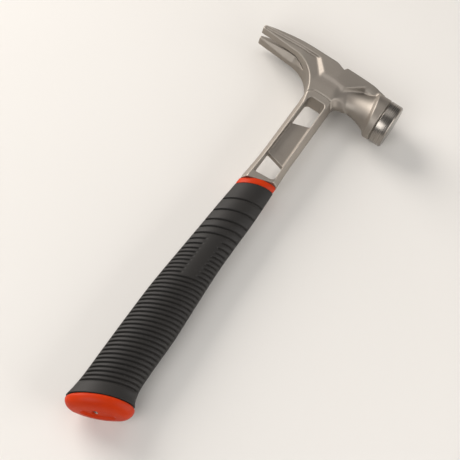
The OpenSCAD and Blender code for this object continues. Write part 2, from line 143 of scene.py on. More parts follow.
# Claw and throat: the top falls away to the tips, the underside is one round throat that runs out flat
CLAW_DROP, CLAW_CURVE = 8.4, 2.5
THROAT_X, THROAT_Y, THROAT_R, TINE_RISE = -40.7, -22.8, 28.0, 0.074
TINE_HALF, TINE_FROM, TINE_TO = 12.7, -13.0, -34.0
SLOT_TIP, SLOT_ROOT, SLOT_END = 3.4, 1.4, -27.4
SLOT_BEVEL_X, SLOT_BEVEL = (-72, -60, -45, -38, -27), (0.8, 2.5, 4.5, 4.5, 0.3)
# Shank: a bar that flares to the grip, with bevelled rails, and a window with a web at half depth
SHANK_T, SHANK_LOW, SHANK_LEAN = 8.3, -112.0, math.radians(20)
FLARE_W, FLARE_W_FROM, FLARE_T, FLARE_T_FROM = 1.5, -76.0, 0.5, -88.0
RAIL_EDGE, RAIL_SLOPE, RAIL_RISE, RAIL_RISE_FROM, RAIL_RISE_TO = 3.0, 1.56, 9.0, -32.0, -3.0
WINDOW_LOW, WINDOW_HIGH, WINDOW_WIDE, WINDOW_NARROW, WINDOW_R = -108.0, -21.0, 9.2, 7.6, 3.4
WINDOW_SLANT = math.tan(SHANK_LEAN) / 4
WEB_T, WEB_HALF, WEB_LOW, WEB_LOW_SLOPE, WEB_HIGH, WEB_HIGH_SLOPE = 2.6, 10.2, -86.2, -0.285, -46.2, 0.36
# Cheeks, and the raised block along the top. Each bevel of the block has a point on its foot,
# the way that it climbs over the side view, and its slope
CHEEK_T, CHEEK_END, CHEEK_FALL, RIM_SLOPE = 11.0, 12.5, 1.1, 0.25
BLOCK_T, TOP_FLAT, TOP_SLOPE = 14.0, 11.2, 2.8 / 1.7
CLAW_BEVEL = (-19.8, 8.3), (9.1, 8.4), 0.77
LOW_BEVEL = (0.0, -2.1), (0.0, 1.0), 0.65
NECK_BEVEL = (11.5, -2.1), (-13.4, 13.0), 1.6
# Strip at the top of the block: over the claw its foot falls to the tips, and towards the poll it narrows
# over a sloped ledge
STRIP_FOOT, STRIP_FALL, STRIP_FALL_FROM, STRIP_SLOPE = 11.65, 0.072, -38.6, 3.2
STRIP_T, STRIP_TAPER, STRIP_TAPER_FROM = 14.2, 0.11, 2.5
LEDGE_TOP, LEDGE_SLOPE, LEDGE_FOOT, LEDGE_DROP, LEDGE_WALL = 14.5, 0.6, 10.7, 2.3, 2.5
# Fine lines that the dies left, one round the head of the window and one under the strip:
# width, depth, distance from the window's edge or below the strip's foot, and where the line fades in
WINDOW_LINE_W, WINDOW_LINE_DEPTH, WINDOW_LINE_OFF, WINDOW_LINE_FROM, WINDOW_LINE_TO = 0.6, 0.7, 6.0, -32.0, -24.0
STRIP_LINE_W, STRIP_LINE_DEPTH, STRIP_LINE_OFF, STRIP_LINE_FROM, STRIP_LINE_TO = 0.6, 0.9, 0.5, -21.0, -29.0
# Neck and poll: a funnel with a flattened waist, the cone that the block runs out in, the rim and its joint
NECK_R, NECK_X, FILLET_R = 11.0, 20.7, 8.0
FUNNEL_X, FUNNEL_R, FUNNEL_FROM, FUNNEL_STEP, FUNNEL_LAP = 22.6, 36.0, 12.0, 3.4, 1.0
WAIST_FLAT, WAIST_X, WAIST_LEN = 0.22, 19.0, 9.0
CONE_PROUD, CONE_SLOPE, CONE_END = 0.2, 0.3, 41.0
POLL_LEAN, POLL_BACK, POLL_CHAMFER, POLL_LAP = 0.18, 41.6, 1.5, 8.0
BLEND_HIGH, BLEND_LOW, BLEND_LOW_Y = 2.5, 4.5, -8.0
POLL_END, JOINT_W, JOINT_DEPTH, BORE_X, BORE_R = 50.4, 0.9, 0.8, 34.5, 8.1
# Nail notch across the top, and the hole for its magnet
PLAY = 0.1
NOTCH_FROM, NOTCH_X, NOTCH_DEPTH, NOTCH_BACK = -7.8, 3.2, 4.4, 2.0
MAGNET_X, MAGNET_R = -2.3, 2.6
MAGNET_LOW = (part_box("nail_magnet")[0].y - ORIGIN.y) / MM - POLL_Y - PLAY
# Factors that bring sloped fields near to true distances, so that their edges round evenly
CHAMFER_EVEN, SLOT_EVEN, FLOOR_EVEN = 0.55, 0.8, 0.96


def window_field(x, y, grow):
    """Distance to the window's outline, seen from the side: below zero inside it."""
    half = WINDOW_NARROW + (WINDOW_WIDE - WINDOW_NARROW) * part_way(y, WINDOW_HIGH, WINDOW_LOW) - WINDOW_R
    low = WINDOW_LOW + (x + WINDOW_WIDE) * WINDOW_SLANT + WINDOW_R
    across = np.abs(x) - half
    along = np.maximum(y - (WINDOW_HIGH - WINDOW_R), low - y)
    corner = np.hypot(np.maximum(across, 0), np.maximum(along, 0))
    return corner + np.minimum(np.maximum(across, along), 0) - WINDOW_R - grow


def climb(x, y, foot, way, slope):
    """Half thickness of a bevel that climbs from the cheek at its foot."""
    return CHEEK_T + slope * ((x - foot[0]) * way[0] + (y - foot[1]) * way[1]) / math.hypot(*way)


def strip_half(x):
    """Half width of the strip along the top."""
    return STRIP_T - STRIP_TAPER * np.maximum(x - STRIP_TAPER_FROM, 0)


def half_thickness(x, y, throat, neck):
    """Half thickness of claw, cheeks and shank over the side view."""
    cheek = CHEEK_T + (TINE_HALF - CHEEK_T) * part_way(x, TINE_FROM, TINE_TO)
    cheek = soft_min(cheek, CHEEK_T + (CHEEK_END - x) * CHEEK_FALL, 8.0)
    rim = SHANK_T + RIM_SLOPE * np.maximum(y - WINDOW_HIGH, 0) + FLARE_T * part_way(y, FLARE_T_FROM, SHANK_LOW) ** 2
    # The rail's broad bevel narrows round the throat to an edge along the claw
    narrowing = RAIL_RISE * eased(part_way(y, RAIL_RISE_FROM, RAIL_RISE_TO))
    bevel = np.minimum(throat * RAIL_SLOPE + narrowing, neck * RAIL_SLOPE) + RAIL_EDGE
    flat = soft_min(soft_min(cheek, rim, 1.0), bevel, 0.9)
    line = np.abs(window_field(x, y, WINDOW_LINE_OFF)) / WINDOW_LINE_W
    depth = WINDOW_LINE_DEPTH * part_way(y, WINDOW_LINE_FROM, WINDOW_LINE_TO)
    flat = flat - depth * np.clip(1 - line * line, 0, 1)
    above_foot = y - STRIP_FOOT + STRIP_FALL * np.maximum(STRIP_FALL_FROM - x, 0)
    line = (above_foot + STRIP_LINE_OFF) / STRIP_LINE_W
    depth = STRIP_LINE_DEPTH * part_way(x, STRIP_LINE_FROM, STRIP_LINE_TO)
    flat = flat - depth * np.exp(-line * line)
    ledge = strip_half(x) + LEDGE_SLOPE * (y - LEDGE_TOP)
    ledge = soft_min(ledge, strip_half(x) - LEDGE_DROP + LEDGE_WALL * (y - LEDGE_FOOT), 2.0)
    strip = np.where(x > 0, ledge, CHEEK_T + STRIP_SLOPE * above_foot)
    block = soft_min(climb(x, y, *CLAW_BEVEL), climb(x, y, *LOW_BEVEL), 0.8)
    block = soft_min(block, climb(x, y, *NECK_BEVEL), 1.0)
    block = soft_min(soft_max(block, strip, 2.0), BLOCK_T, 0.7)
    return soft_max(flat, block, 0.9)


def forging(x, y, z):
    """The whole forging as a field that is below zero inside; y is counted from the poll's axis."""
    side, off_axis = np.abs(z), np.hypot(y, z)
    flare = FLARE_W * part_way(y, FLARE_W_FROM, SHANK_LOW) ** 2
    throat = np.hypot(np.maximum(x - THROAT_X, 0), np.maximum(y - THROAT_Y, 0)) - THROAT_R
    throat = throat - TINE_RISE * np.maximum(THROAT_X - x, 0) + flare
    neck = np.hypot(np.maximum(NECK_X - x, 0), np.maximum(y + NECK_R + FILLET_R, 0)) - FILLET_R + flare
    top = POLL_R - CLAW_DROP * (np.maximum(-x, 0) / CLAW_REACH) ** CLAW_CURVE
    outline = soft_max(-throat, -neck, 0.5)
    outline = soft_max(outline, (SHANK_LOW + x * math.tan(SHANK_LEAN) - y) * math.cos(SHANK_LEAN), 0.5)
    body = soft_max(side - half_thickness(x, y, throat, neck), outline, 0.8)
    body = soft_max(body, -CLAW_REACH - x, 1.2)
    # Upper side: the cone into the poll, the strip and its chamfers
    cone = np.hypot(np.maximum(y, 0), z) - POLL_R - CONE_PROUD - CONE_SLOPE * np.maximum(CONE_END - x, 0)
    body = soft_max(soft_max(body, cone, 3.0), x - POLL_BACK, 0.5)
    body = soft_max(body, side - strip_half(x), 1.0)
    chamfer = (side - TOP_FLAT - TOP_SLOPE * (POLL_R - y)) / math.hypot(1, TOP_SLOPE)
    body = soft_max(body, soft_max(y - top, chamfer, 0.7), 0.8)
    # Poll, turned: a funnel from the neck, a leaning back edge, a rim and the step of the joint
    lean = x + POLL_LEAN * y
    waist = np.hypot(y, z * (1 + WAIST_FLAT * np.exp(-((x - WAIST_X) / WAIST_LEN) ** 2)))
    funnel = FUNNEL_R - np.hypot(np.maximum(lean - FUNNEL_X, 0), waist - NECK_R - FUNNEL_R)
    funnel = np.maximum(funnel, off_axis - POLL_R + FUNNEL_STEP)
    funnel = soft_max(soft_max(funnel, lean - POLL_BACK + FUNNEL_LAP, 1.0), FUNNEL_FROM - x, 4.0)
    chamfer = (off_axis - POLL_R - POLL_CHAMFER * (lean - POLL_BACK)) * CHAMFER_EVEN
    poll = np.maximum(soft_max(chamfer, off_axis - POLL_R, 0.6), POLL_BACK - POLL_LAP - lean)
    poll = soft_min(poll, funnel, 0.4)
    poll = np.maximum(poll, np.minimum(x - POLL_END + JOINT_W, off_axis - POLL_R + JOINT_DEPTH))
    poll = soft_max(poll, x - POLL_END, 0.3)
    body = soft_min(body, poll, BLEND_HIGH + (BLEND_LOW - BLEND_HIGH) * part_way(y, 0, BLEND_LOW_Y))
    # Window and web
    body = soft_max(body, -window_field(x, y, 0.0), 0.8)
    web = soft_max(side - WEB_T, y - WEB_HIGH - WEB_HIGH_SLOPE * x, 0.8)
    web = soft_max(web, WEB_LOW + WEB_LOW_SLOPE * x - y, 0.8)
    body = soft_min(body, np.maximum(web, np.abs(x) - WEB_HALF), 2.2)
    # Nail slot, narrow and upright, with a bevel along its underside that fades out at tips and root
    slot_half = SLOT_ROOT + (SLOT_TIP - SLOT_ROOT) * part_way(x, SLOT_END, -CLAW_REACH)
    slot_bevel = np.maximum(np.interp(x, SLOT_BEVEL_X, SLOT_BEVEL) - throat, 0)
    slot = np.hypot(np.maximum(x - SLOT_END, 0), side) - slot_half - slot_bevel
    body = soft_max(body, -slot * SLOT_EVEN, 0.6)
    # Nail notch, magnet hole and the bore for the face's spigot
    floor = (POLL_R - NOTCH_DEPTH * (x - NOTCH_FROM) / (NOTCH_X - NOTCH_FROM) - y) * FLOOR_EVEN
    back = (POLL_R - NOTCH_DEPTH + NOTCH_BACK * (x - NOTCH_X) - y) / math.hypot(1, NOTCH_BACK)
    body = soft_max(body, -soft_max(floor, back, 0.6), 0.6)
    magnet_hole = np.maximum(np.hypot(x - MAGNET_X, z) - MAGNET_R, MAGNET_LOW - y)
    bore = np.maximum(off_axis - BORE_R, BORE_X - x)
    return np.maximum(soft_max(body, -magnet_hole, 0.3), -bore)


def skin(field, low, high, step):
    """Closed mesh where a field is zero: one point in each grid cell that the surface crosses, drawn onto it."""
    axes = [np.arange(a, b + step, step) for a, b in zip(low, high)]
    value = field(*np.meshgrid(*axes, indexing="ij", sparse=True))
    inside = value < 0
    size = np.array(value.shape) - 1
    corners = [np.array((i, j, k)) for i in (0, 1) for j in (0, 1) for k in (0, 1)]
    filled = sum(inside[i:i + size[0], j:j + size[1], k:k + size[2]].astype(np.int8) for i, j, k in corners)
    cells = np.argwhere((filled > 0) & (filled < len(corners)))
    number = np.full(size, -1)
    number[tuple(cells.T)] = np.arange(len(cells))
    # Each point starts at the mean of the places where the surface crosses its cell's edges
    total, hits = np.zeros((len(cells), 3)), np.zeros((len(cells), 1))
    for near in corners:
        for step_to in np.eye(3, dtype=int):
            if near @ step_to:
                continue
            a, b = value[tuple((cells + near).T)], value[tuple((cells + near + step_to).T)]
            crossed = ((a < 0) != (b < 0))[:, None]
            share = np.where(crossed[:, 0], a / np.where(a == b, 1, a - b), 0)[:, None]
            total += (near + share * step_to) * crossed
            hits += crossed
    points = np.array(low) + step * (cells + total / hits)
    # One face for each grid edge that the surface crosses, between the four cells round that edge
    faces = []
    for axis in range(3):
        u, w = (axis + 1) % 3, (axis + 2) % 3
        change = np.diff(inside.astype(np.int8), axis=axis)
        edges = np.argwhere(change)
        leaves = change[tuple(edges.T)] < 0
        ring = []
        for du, dw in ((1, 1), (0, 1), (0, 0), (1, 0)):
            cell = edges.copy()
            cell[:, u] -= du
            cell[:, w] -= dw
            ring.append(number[tuple(cell.T)])
        ring = np.stack(ring, 1)
        faces += np.where(leaves[:, None], ring, ring[:, ::-1]).tolist()
    # A few steps down the field's slope bring the points onto the surface
    nudge, least_slope = 0.02, 0.05
    for _ in range(3):
        slope = [field(*(points + e).T) - field(*(points - e).T) for e in np.eye(3) * nudge]
        slope = np.stack(slope, 1) / (2 * nudge)
        move = field(*points.T)[:, None] * slope / np.maximum((slope * slope).sum(1, keepdims=True), least_slope)
        points -= np.clip(move, -step / 2, step / 2)
    return points, faces


GRID_LOW, GRID_HIGH, GRID_STEP = (-74, -119, -20), (50.5, 20.5, 20), 0.55
points, faces = skin(forging, GRID_LOW, GRID_HIGH, GRID_STEP)
head = solid("head_forging", points + np.array((0, POLL_Y, 0)), faces)

# Tang: a flat bar down into the grip, drilled for the rivets and the screw of the cap
GRIP_TOP = 239.57
TANG_W, TANG_T, TANG_LOW, TANG_HIGH = 6.4, 3.0, 34.57, 248.8
RIVET_PLACES, RIVET_HOLE, RIVET_REACH, SCREW_HOLE = (0.25, 0.5, 0.75), 2.6, 9, 1.35
tang_corners = [(i * TANG_W, j, k * TANG_T) for i in (-1, 1) for j in (TANG_LOW, TANG_HIGH) for k in (-1, 1)]
tang_sides = [(0, 1, 3, 2), (4, 6, 7, 5), (0, 4, 5, 1), (2, 3, 7, 6), (0, 2, 6, 4), (1, 5, 7, 3)]
merge(head, solid("tang", tang_corners, tang_sides), "UNION")
for share in RIVET_PLACES:
    place = (0, TANG_LOW + (GRIP_TOP - TANG_LOW) * share, 0)
    hole = [(-RIVET_REACH, RIVET_HOLE), (RIVET_REACH, RIVET_HOLE)]
    merge(head, turned("rivet_hole", hole, place, (0, 0, 1), 48), "DIFFERENCE")
screw_low, screw_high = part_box("cap_screw")
screw_x = ((screw_low + screw_high) / 2 - ORIGIN).x / MM
screw_tip = (screw_high - ORIGIN).y / MM
hole = [(0, SCREW_HOLE), (screw_tip + PLAY, SCREW_HOLE)]
merge(head, turned("screw_hole", hole, (screw_x, 0, 0), (0, 1, 0), 48), "DIFFERENCE")


def linear(code):
    """Linear colour of an sRGB hex value."""
    parts = [int(code[i:i + 2], 16) / 255 for i in (1, 3, 5)]
    return tuple(p / 12.92 if p <= 0.04045 else ((p + 0.055) / 1.055) ** 2.4 for p in parts) + (1.0,)


def add(tree, kind, feeds, **settings):
    """Adds a node with its settings, and feeds each named input with a value or with another node's output."""
    node = tree.nodes.new("ShaderNode" + kind)
    for name, value in settings.items():
        setattr(node, name, value)
    for name, value in feeds.items():
        if isinstance(value, bpy.types.NodeSocket):
            tree.links.new(value, node.inputs[name])
        else:
            node.inputs[name].default_value = value
    return node


def blank(name):
    """A new material, and its empty tree."""
    material = bpy.data.materials.new(name)
    material.use_nodes = True
    material.node_tree.nodes.clear()
    return material, material.node_tree


# Bead-blasted tool steel: a warm satin grey without streaks, a fine even grain, edges rubbed a little brighter.
# The real grain is about 0.1 mm; it is drawn at 0.7 mm so that it still shows.
GRAIN, PATCH, GRAIN_DEPTH = 0.7, 22.0, 0.08
blasted_steel, tree = blank("blasted_tool_steel")
where = add(tree, "TexCoord", {}).outputs["Object"]
grain = add(tree, "TexNoise", {"Vector": where, "Scale": 1 / (GRAIN * MM), "Detail": 2.0, "Roughness": 0.6})
patch = add(tree, "TexNoise", {"Vector": where, "Scale": 1 / (PATCH * MM), "Detail": 3.0})
rubbed = add(tree, "MapRange", {"Value": add(tree, "NewGeometry", {}).outputs["Pointiness"],
                                "From Min": 0.51, "From Max": 0.56, "To Min": 0.0, "To Max": 1.0})
tint = add(tree, "Mix", {0: patch.outputs["Fac"], 6: linear("#938b83"), 7: linear("#a49d94")}, data_type="RGBA")
edge = add(tree, "Mix", {0: rubbed.outputs["Result"], 6: tint.outputs[2], 7: linear("#b3aca2")}, data_type="RGBA")
gloss = add(tree, "MapRange", {"Value": grain.outputs["Fac"], "To Min": 0.46, "To Max": 0.62})
relief = add(tree, "Bump", {"Height": grain.outputs["Fac"], "Strength": 0.35, "Distance": GRAIN_DEPTH * MM})
surface = add(tree, "BsdfPrincipled", {"Metallic": 1.0, "Base Color": edge.outputs[2],
                                       "Roughness": gloss.outputs["Result"], "Normal": relief.outputs["Normal"]})
add(tree, "OutputMaterial", {"Surface": surface.outputs["BSDF"]})
head.data.materials.clear()
head.data.materials.append(blasted_steel)
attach(head, "root")
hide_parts("head_frame")


# Striking face: a turned disc with a crowned face and a spigot that is pressed into the poll.
# Hardened bar steel, turned on a lathe and polished.
SPIGOT_END, SPIGOT_R, SPIGOT_EDGE = 34.7, 8.0, 0.6
FACE_END, CROWN, FACE_EDGE = 61.2, 0.7, 1.0
face_profile = [(SPIGOT_END, 0), (SPIGOT_END, SPIGOT_R - SPIGOT_EDGE), (SPIGOT_END + SPIGOT_EDGE, SPIGOT_R)]
face_profile += [(POLL_END, SPIGOT_R), (POLL_END, POLL_R - JOINT_DEPTH)]
# Pairs of close rings keep the edges of both chamfers crisp
face_profile += [(POLL_END + 0.4, POLL_R - 0.12), (POLL_END + 0.5, POLL_R - 0.02), (POLL_END + 0.7, POLL_R)]
face_profile += [(FACE_END - FACE_EDGE - 0.1, POLL_R), (FACE_END - FACE_EDGE + 0.05, POLL_R - 0.05)]
face_profile += [(FACE_END - 0.05, POLL_R - FACE_EDGE + 0.05), (FACE_END, POLL_R - FACE_EDGE - 0.1)]
crown_from = face_profile[-1]
face_profile += [(crown_from[0] + CROWN * (1 - (r / crown_from[1]) ** 2), r)
                 for r in np.linspace(crown_from[1], 0, 26)[1:]]
face = turned("turned_face", face_profile, (0, POLL_Y, 0), (1, 0, 0), 160)

# Turned and polished steel: bright, with fine rings left by the tool that follow the turning.
# The real rings are about 0.1 mm apart; they are drawn 0.5 mm apart so that they still show.
RING, RING_LONG, RING_DEPTH = 0.5, 1000 / 6, 0.02
turned_steel, tree = blank("turned_polished_steel")
where = add(tree, "TexCoord", {}).outputs["Object"]
scale = (1 / (RING * MM), 1 / (RING_LONG * MM), 1 / (RING_LONG * MM))
along = add(tree, "Mapping", {"Vector": where, "Scale": scale})
rings = add(tree, "TexNoise", {"Vector": along.outputs["Vector"], "Scale": 1.0, "Detail": 2.0})
tint = add(tree, "Mix", {0: rings.outputs["Fac"], 6: linear("#7f7972"), 7: linear("#a29c95")}, data_type="RGBA")
gloss = add(tree, "MapRange", {"Value": rings.outputs["Fac"], "To Min": 0.18, "To Max": 0.36})
relief = add(tree, "Bump", {"Height": rings.outputs["Fac"], "Strength": 0.3, "Distance": RING_DEPTH * MM})
lay = add(tree, "Tangent", {}, direction_type="RADIAL", axis="X")
surface = add(tree, "BsdfPrincipled", {"Metallic": 1.0, "Anisotropic": 0.35, "Tangent": lay.outputs["Tangent"],
                                       "Base Color": tint.outputs[2], "Roughness": gloss.outputs["Result"],
                                       "Normal": relief.outputs["Normal"]})
add(tree, "OutputMaterial", {"Surface": surface.outputs["BSDF"]})
face.data.materials.append(turned_steel)
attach(face, "root")
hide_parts("strike_face")


# Nail magnet: a short round magnet glued into a hole under the nail notch.
# Sintered magnet with a bright nickel plating, kept from the CAD model.

# Nickel plating: bright and a little warm, with scuffs of about 1.5 mm where nails have rubbed it dull
SCUFF = 1.5
magnet_nickel, tree = blank("nickel_plated_magnet")
where = add(tree, "TexCoord", {}).outputs["Object"]
scuff = add(tree, "TexNoise", {"Vector": where, "Scale": 1 / (SCUFF * MM), "Detail": 4.0})
gloss = add(tree, "MapRange", {"Value": scuff.outputs["Fac"], "To Min": 0.18, "To Max": 0.42})
surface = add(tree, "BsdfPrincipled", {"Metallic": 1.0, "Base Color": linear("#b9b2a6"),
                                       "Roughness": gloss.outputs["Result"]})
add(tree, "OutputMaterial", {"Surface": surface.outputs["BSDF"]})
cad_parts["nail_magnet"].material_slots[0].material = magnet_nickel


# Collar: an oval ring that closes the top of the grip, with the tang through it.
# ABS, injection-moulded, slid over the tang and held by the grip.
COLLAR_H, COLLAR_X, COLLAR_W, COLLAR_T, COLLAR_ROUND = 5.9, -0.6, 14.3, 8.7, 4.0
COLLAR_EDGE, COLLAR_BULGE, COLLAR_SLOPE = 0.8, 0.12, math.tan(math.radians(20))
AROUND = 160
turns = np.linspace(0, 2 * math.pi, AROUND, endpoint=False)


def oval(half_w, half_t, end_r):
    """Loop of points (x, z) on an oval of four arcs, spread by the direction that the surface faces."""
    set_back = ((half_w - end_r) ** 2 - (half_t - end_r) ** 2) / ((half_t - end_r) * 2)
    on_end = np.abs(np.sin(turns)) * math.hypot(half_w - end_r, set_back) < set_back
    r = np.where(on_end, end_r, half_t + set_back)
    x = r * np.cos(turns) + np.where(on_end, np.sign(np.cos(turns)) * (half_w - end_r), 0)
    z = r * np.sin(turns) - np.where(on_end, 0, np.sign(np.sin(turns)) * set_back)
    return x, z


def slanted(x, z, y, slope):
    """Ring of points at a height along the handle, leaning so that the claw side is lower."""
    return np.stack([x, y + x * slope, z], 1)


def sleeve(name, rings):
    """A tube of rings that go up its outside and down its hole."""
    return solid(name, np.concatenate(rings), [face[::-1] for face in rounds(rings, True)])


edge_angles = np.radians((0, 25, 50, 70, 90))
collar_edge = [(COLLAR_EDGE * (1 - math.sin(a)), COLLAR_EDGE * (1 - math.cos(a))) for a in edge_angles]
walls = collar_edge + [(-COLLAR_BULGE, COLLAR_H / 2)]
walls += [(inset, COLLAR_H - low) for inset, low in collar_edge[::-1]]
rings = []
for inset, height in walls:
    x, z = oval(COLLAR_W - inset, COLLAR_T - inset, COLLAR_ROUND - inset)
    rings.append(slanted(x + COLLAR_X, z, GRIP_TOP + height, COLLAR_SLOPE))
x, z = oval(COLLAR_W, COLLAR_T, COLLAR_ROUND)
to_hole = np.minimum((TANG_W + PLAY) / np.maximum(np.abs(x), 1e-6), (TANG_T + PLAY) / np.maximum(np.abs(z), 1e-6))
for height in (COLLAR_H, 0):
    rings.append(slanted(x * to_hole, z * to_hole, GRIP_TOP + height, COLLAR_SLOPE))
collar = sleeve("collar_ring_moulded", rings)

# Moulded ABS, orange: even colour, satin, with the faint grain that the mould was etched with.
# The real grain is about 0.2 mm; it is drawn at 0.6 mm so that it still shows.
MOULD_GRAIN, MOULD_DEPTH, ABS_FLOW = 0.6, 0.04, 14.0
orange_abs, tree = blank("moulded_orange_abs")
where = add(tree, "TexCoord", {}).outputs["Object"]
grain = add(tree, "TexNoise", {"Vector": where, "Scale": 1 / (MOULD_GRAIN * MM), "Detail": 2.0})
flow = add(tree, "TexNoise", {"Vector": where, "Scale": 1 / (ABS_FLOW * MM), "Detail": 2.0})
tint = add(tree, "Mix", {0: flow.outputs["Fac"], 6: linear("#b22a04"), 7: linear("#c43809")}, data_type="RGBA")
gloss = add(tree, "MapRange", {"Value": grain.outputs["Fac"], "To Min": 0.36, "To Max": 0.50})
relief = add(tree, "Bump", {"Height": grain.outputs["Fac"], "Strength": 0.25, "Distance": MOULD_DEPTH * MM})
surface = add(tree, "BsdfPrincipled", {"IOR": 1.53, "Specular IOR Level": 0.14, "Base Color": tint.outputs[2],
                                       "Roughness": gloss.outputs["Result"], "Normal": relief.outputs["Normal"]})
add(tree, "OutputMaterial", {"Surface": surface.outputs["BSDF"]})
collar.data.materials.append(orange_abs)
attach(collar, "root")
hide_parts("collar_ring")


# Core halves and rivets: two shells that fill the sleeve round the tang, and the rivets through all three.
# Nylon, injection-moulded, and zinc-plated steel; hidden inside the grip and kept from the CAD model.

# Moulded nylon, black: dull, with faint flow marks about 6 mm wide
NYLON_FLOW = 6.0
core_nylon, tree = blank("moulded_black_nylon")
where = add(tree, "TexCoord", {}).outputs["Object"]
flow = add(tree, "TexNoise", {"Vector": where, "Scale": 1 / (NYLON_FLOW * MM), "Detail": 3.0})
tint = add(tree, "Mix", {0: flow.outputs["Fac"], 6: linear("#252423"), 7: linear("#32302f")}, data_type="RGBA")
gloss = add(tree, "MapRange", {"Value": flow.outputs["Fac"], "To Min": 0.42, "To Max": 0.58})
surface = add(tree, "BsdfPrincipled", {"IOR": 1.53, "Base Color": tint.outputs[2],
                                       "Roughness": gloss.outputs["Result"]})
add(tree, "OutputMaterial", {"Surface": surface.outputs["BSDF"]})

# Zinc plating: cool pale grey, with the cloudy crystal pattern of the bath, about 1.2 mm wide
ZINC_CLOUD = 1.2
zinc_steel, tree = blank("zinc_plated_steel")
where = add(tree, "TexCoord", {}).outputs["Object"]
cloud = add(tree, "TexNoise", {"Vector": where, "Scale": 1 / (ZINC_CLOUD * MM), "Detail": 4.0})
tint = add(tree, "Mix", {0: cloud.outputs["Fac"], 6: linear("#a3a5a4"), 7: linear("#c6c7c4")}, data_type="RGBA")
gloss = add(tree, "MapRange", {"Value": cloud.outputs["Fac"], "To Min": 0.28, "To Max": 0.44})
surface = add(tree, "BsdfPrincipled", {"Metallic": 1.0, "Base Color": tint.outputs[2],
                                       "Roughness": gloss.outputs["Result"]})
add(tree, "OutputMaterial", {"Surface": surface.outputs["BSDF"]})
for node in ("core_near", "core_far"):
    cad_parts[node].material_slots[0].material = core_nylon
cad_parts["core_rivets"].material_slots[0].material = zinc_steel


# Grip sleeve: a ribbed sleeve that swells to the butt, with a smooth panel on each flank.
# Thermoplastic rubber, moulded over the core, its grooves slanted like the collar and the cap.
SEAM_Y, SEAM_SLANT, TOP_SLANT = 17.6, 24.0, 20.0
TOP_EDGE, TOP_EDGE_H = 0.25, 0.3
# Grooves: wide steps below the collar, even ones from there on, fading out towards the narrow sides
GROOVE_HIGH, GROOVE_STEP, GROOVES_EVEN = 221.5, 4.24, 32
FIRST_STEPS = (12.7, 11.0, 7.85, 7.2, 6.35, 5.5, 5.1)
GROOVE_HALF, GROOVE_DEPTH, GROOVE_REACH, GROOVE_FADE = 1.15, 1.5, 1.04, 0.2
RIB_CROWN, RIB_CROWN_FROM, RIB_CROWN_TO, RIB_STEP = 0.22, 0.8, 1.6, 1.6
PANEL_X, PANEL_HALF, PANEL_EDGE, PANEL_FIRST, PANEL_LAST = -0.4, 5.6, 0.9, 5, 13
groove_ys = list(GROOVE_HIGH - np.cumsum((0,) + FIRST_STEPS + (GROOVE_STEP,) * GROOVES_EVEN))
# Outline over the height on the axis: claw side, face side and half thickness
PROFILE_Y = (18.57, 21.5, 25, 29.5, 40, 56, 85, 125, 150, 165, 181, 202, 214, 239.57)
CLAW_SIDE = (22.8, 22.3, 21.8, 21.2, 21.0, 21.2, 21.4, 21.3, 20.1, 19.2, 18.3, 17.1, 16.6, 14.9)
FACE_SIDE = (24.6, 23.0, 21.4, 20.2, 19.6, 19.4, 19.2, 16.9, 15.5, 15.2, 15.2, 15.4, 15.2, 14.2)
HALF_T = (15.6, 15.1, 14.7, 14.4, 14.3, 14.4, 14.4, 13.3, 12.4, 11.8, 11.2, 10.6, 10.2, 8.8)
# Radius of the oval's narrow sides as a share of its half thickness: less towards the collar
SIDE_ROUND, SIDE_LESS, SIDE_LESS_FROM, SIDE_LESS_TO = 0.72, 0.26, 150, 240
# Heights of the rings: the foot, each groove and the rib above it, and the edge under the collar
heights = [SEAM_Y, SEAM_Y + 0.8, 20.5, 21.5, 22.5, 23.5, 24.7, 26, 27.2]
for low, high in zip(groove_ys[::-1], groove_ys[-2::-1] + [GRIP_TOP]):
    heights += list(low + GROOVE_HALF * np.linspace(-1, 1, 9))
    heights += list(np.linspace(low, high, 2 + max(2, int((high - low) / RIB_STEP)))[1:-1])
heights = np.array(sorted(h for h in heights if h < GRIP_TOP - 0.5) + [GRIP_TOP - 0.4, GRIP_TOP - 0.1, GRIP_TOP])
fine = np.linspace(SEAM_Y, GRIP_TOP, 600)


def along_grip(values, reach=9.0):
    """A value along the grip, eased through its table so that the outline has no corners."""
    table = np.interp(fine, PROFILE_Y, values)
    ends = np.minimum(reach, np.minimum(fine - SEAM_Y, GRIP_TOP - fine))
    smooth = [np.interp(np.linspace(y - e, y + e, 9), fine, table).mean() for y, e in zip(fine, ends)]
    return np.interp(heights, fine, smooth)


def grip_slope(y):
    """Slope of a ring of the grip, which turns from the cap's to the collar's."""
    return math.tan(math.radians(SEAM_SLANT + (TOP_SLANT - SEAM_SLANT) * (y - SEAM_Y) / (GRIP_TOP - SEAM_Y)))


